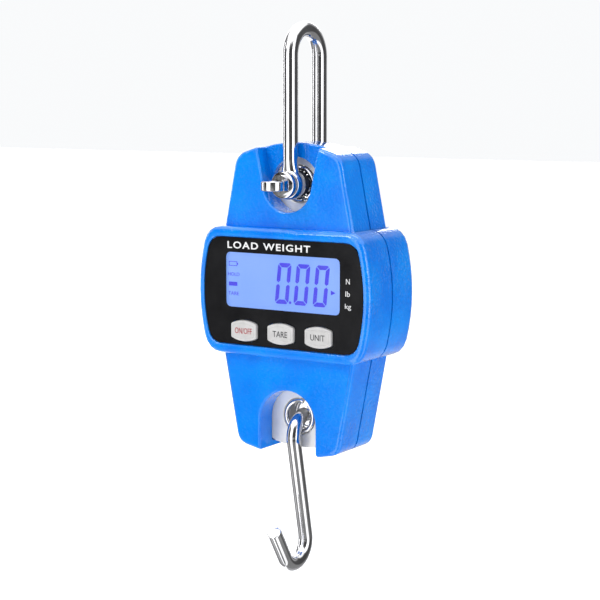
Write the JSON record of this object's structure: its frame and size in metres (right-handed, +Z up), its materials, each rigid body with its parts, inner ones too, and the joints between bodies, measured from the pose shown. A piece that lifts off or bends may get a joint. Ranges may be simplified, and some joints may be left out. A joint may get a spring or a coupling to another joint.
{
  "type": "crane scale",
  "caption": "Hanging crane scale with a painted two-shell casing, backlit display, press keys, a bow shackle on a screw pin above and an S hook below.",
  "frame": {"origin": "inner top of the shackle bow, on its centre line, where the crane hook bears", "axes": "+Z up along the line of pull, display facing -Y, +X to the right of someone reading the display"},
  "size_m": [0.0854, 0.0521, 0.2341],
  "materials": {
    "polished_steel": "polished",
    "bright_wire": "gloss",
    "screw_steel": "satin",
    "black_rubber": "matte",
    "blue_painted_casting": "gloss",
    "milled_aluminium": "satin",
    "potting": "satin",
    "lead_jacket": "satin",
    "black_overlay": "gloss",
    "clear_window": "gloss",
    "lit_lcd": "gloss",
    "diffuser": "satin",
    "pale_plastic": "satin",
    "board_green": "satin",
    "black_plastic": "satin",
    "grey_key": "satin",
    "battery_jacket": "gloss",
    "blue_plastic": "satin"
  },
  "bodies": {
    "shackle": {"shackle_bow": "polished_steel", "shackle_pin": "polished_steel", "cotter_pin": "bright_wire", "pin_bush_front": "black_rubber", "pin_bush_rear": "black_rubber"},
    "scale_body": {"front_cover": "blue_painted_casting", "rear_cover": "blue_painted_casting", "case_seal": "black_rubber", "case_screw_1": "screw_steel", "case_screw_2": "screw_steel", "case_screw_3": "screw_steel", "case_screw_4": "screw_steel", "load_cell": "milled_aluminium", "upper_ring_front": "bright_wire", "upper_ring_rear": "bright_wire", "lower_ring_front": "bright_wire", "lower_ring_rear": "bright_wire", "gauge_potting": "potting", "load_cell_lead": "lead_jacket", "display_overlay": "black_overlay", "display_window": "clear_window", "lcd_glass": "lit_lcd", "backlight": "diffuser", "lcd_frame": "pale_plastic", "main_board": "board_green", "board_screw_1": "screw_steel", "board_screw_2": "screw_steel", "board_screw_3": "screw_steel", "board_screw_4": "screw_steel", "measuring_chip": "black_plastic", "power_switch": "black_plastic", "tare_switch": "black_plastic", "unit_switch": "black_plastic", "battery_tray": "black_plastic", "battery_1": "battery_jacket", "battery_2": "battery_jacket", "battery_3": "battery_jacket", "contact_plate_1": "screw_steel", "contact_plate_2": "screw_steel", "contact_plate_3": "screw_steel", "contact_spring_1": "bright_wire", "contact_spring_2": "bright_wire", "contact_spring_3": "bright_wire"},
    "power_key_body": {"power_key": "grey_key"},
    "tare_key_body": {"tare_key": "grey_key"},
    "unit_key_body": {"unit_key": "grey_key"},
    "battery_door_body": {"battery_door": "blue_plastic"},
    "s_hook_body": {"s_hook": "polished_steel"}
  },
  "joints": [
    {"name": "scale_swing", "type": "hinge", "parent": "shackle", "child": "scale_body", "pos_m": [0, 0, -0.0614], "axis": [0, 1, 0], "range_deg": [-35, 35]},
    {"name": "s_hook_swing", "type": "hinge", "parent": "scale_body", "child": "s_hook_body", "pos_m": [0, 0, -0.161], "axis": [0, 1, 0], "range_deg": [-30, 30]},
    {"name": "power_key_press", "type": "slide", "parent": "scale_body", "child": "power_key_body", "axis": [0, 1, 0], "range_m": [0, 0.0008], "stiffness_N_per_m": 1500},
    {"name": "tare_key_press", "type": "slide", "parent": "scale_body", "child": "tare_key_body", "axis": [0, 1, 0], "range_m": [0, 0.0008], "stiffness_N_per_m": 1500},
    {"name": "unit_key_press", "type": "slide", "parent": "scale_body", "child": "unit_key_body", "axis": [0, 1, 0], "range_m": [0, 0.0008], "stiffness_N_per_m": 1500},
    {"name": "battery_door_lift", "type": "slide", "parent": "scale_body", "child": "battery_door_body", "axis": [0, 1, 0], "range_m": [0, 0.02]}
  ]
}
